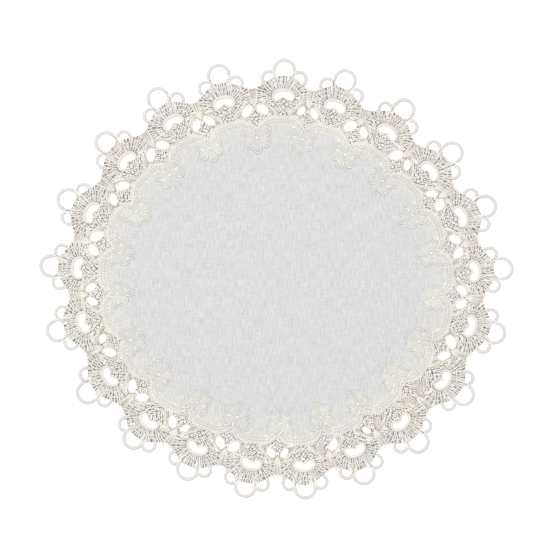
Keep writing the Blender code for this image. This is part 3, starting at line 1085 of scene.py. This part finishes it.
def cloth_sheet():
    """The woven panel: the plan of its solid, as one thin sheet."""
    bm = underside("cloth_panel")
    return flat_sheet("linen_panel", bm, 0.0, CLOTH_TOP, linen_material())


# -------------------------------- stage

FLOOR_SIZE = 6.0
FLOOR_BELOW = 0.0002  # from the mat's underside down to the floor
BACKDROP_LIGHT = 0.5  # strength of the white world as a light, where it is 1 as a backdrop
CAMERA_AT = (-0.00069, 0.00268, 2.5)
VIEW_WIDTH = 0.4408


def white_floor():
    """A plain white floor that glows a little, so that it is as white as the backdrop."""
    height = CAD_BOX[0][2] - FLOOR_BELOW
    bpy.ops.mesh.primitive_plane_add(size=FLOOR_SIZE, location=(0, 0, height))
    floor = bpy.context.object
    floor.name = "floor"
    white = Nodes("white_floor", roughness=0.9, sheen=0.0, specular=0.0)
    white.shader.inputs["Base Color"].default_value = rgb(0.9, 0.9, 0.9)
    white.shader.inputs["Emission Color"].default_value = rgb(1, 1, 1)
    white.shader.inputs["Emission Strength"].default_value = 0.35
    floor.data.materials.append(white.material)


def backdrop():
    """A world that shows as white, and is weaker as a light."""
    world = bpy.data.worlds.new("studio")
    bpy.context.scene.world = world
    world.use_nodes = True
    tree = world.node_tree
    background = tree.nodes["Background"]
    background.inputs["Color"].default_value = rgb(1, 1, 1)
    rays = tree.nodes.new("ShaderNodeLightPath")
    strength = tree.nodes.new("ShaderNodeMapRange")
    strength.inputs["To Min"].default_value = BACKDROP_LIGHT
    strength.inputs["To Max"].default_value = 1.0
    tree.links.new(rays.outputs["Is Camera Ray"], strength.inputs["Value"])
    tree.links.new(strength.outputs[0], background.inputs["Strength"])


def softbox():
    """A wide, round lamp over the mat's upper left."""
    lamp = bpy.data.lights.new("softbox", "AREA")
    lamp.shape = "DISK"
    lamp.size = 1.8
    lamp.energy = 120.0
    light = bpy.data.objects.new("softbox", lamp)
    light.location = (-0.5, 0.7, 3.9)
    light.rotation_euler = (radians(-10), radians(-7), 0)
    bpy.context.scene.collection.objects.link(light)


def camera():
    """A camera that looks straight down."""
    view = bpy.data.cameras.new("camera")
    view.type = "ORTHO"
    view.ortho_scale = VIEW_WIDTH
    eye = bpy.data.objects.new("camera", view)
    eye.location = CAMERA_AT
    bpy.context.scene.collection.objects.link(eye)
    bpy.context.scene.camera = eye


def stage():
    """What stands round the mat."""
    white_floor()
    backdrop()
    softbox()
    camera()
    bpy.context.scene.view_settings.view_transform = "Standard"


# -------------------------------- the whole mat

# Each thread's light colour, and how dark the painted shade between its strands is, as a share of that
THREAD_LOOKS = {
    "cream_thread": ((0.985, 0.96, 0.925), 0.93),
    "satin_thread": ((0.79, 0.76, 0.71), 0.95),
    "bridge_thread": ((0.92, 0.88, 0.82), 0.93),
    "white_cord": ((0.715, 0.715, 0.702), 0.95),
    "stitch_thread": ((0.97, 0.95, 0.905), 0.86),
    "petal_thread": ((0.765, 0.757, 0.728), 0.84),
    "outline_thread": ((0.98, 0.965, 0.925), 0.94),
    # painted shadow round the petals
    "painted_shadow_thread": ((0.62, 0.615, 0.59), 0.9),
    "edge_thread": ((0.73, 0.70, 0.65), 0.9),
    "filling_thread": ((0.90, 0.83, 0.775), 0.9),
}

# The lace's threads, in the order of sewing: the piece, its threads' sides, their looks, and what lays them
Sewing = namedtuple("Sewing", "piece sides thread layers")
LACE_SEWING = [
    Sewing("cord_loops", 10, "white_cord", [loop_cords]),
    Sewing("satin_cords", 8, "satin_thread", [eye_cords, rims]),
    Sewing("bridge_threads", 6, "bridge_thread", [arches, bridges]),
    Sewing("net_threads", 5, "cream_thread", [nets]),
    Sewing("foot_threads", 5, "cream_thread", [feet]),
    Sewing("bud_threads", 5, "cream_thread", [buds]),
    Sewing("filling_threads", 6, "filling_thread", [fillings]),
]


def sew_lace(materials):
    """Everything that is sewn over the lace's painted shade underlay."""
    pieces = []
    for piece, sides, thread, layers in LACE_SEWING:
        threads = Threads(piece, sides)
        for lay_all in layers:
            lay_all(threads)
        pieces.append(threads.build(materials[thread]))
    return pieces


def sew_cloth(materials):
    """The flowers and the band that are sewn on the cloth."""
    outlines = Threads("flower_cords", 6)
    petals = Threads("flower_stitches", 5)
    # dark threads that are painted shadow round the petals
    painted_shadows = Threads("flower_painted_shadows", 4)
    flowers(outlines, petals, painted_shadows)
    edges = Threads("band_cords", 6)
    hem = Threads("band_stitches", 5)
    bands(edges, hem)
    return [
        petals.build(materials["petal_thread"]),
        hem.build(materials["stitch_thread"]),
        outlines.build(materials["outline_thread"]),
        painted_shadows.build(materials["painted_shadow_thread"]),
        edges.build(materials["edge_thread"]),
    ]


def dress():
    """Puts both sheets in place of their solids, and sews everything on them."""
    cloth = cloth_sheet()
    # the dark underlay is painted shade under the lace's threads
    painted_shade_sheet = shade_underlay()
    materials = {name: thread_material(name, *look) for name, look in THREAD_LOOKS.items()}
    lace = sew_lace(materials)
    sewn = sew_cloth(materials)
    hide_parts("cloth_panel")
    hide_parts("lace_edging")


stage()
dress()
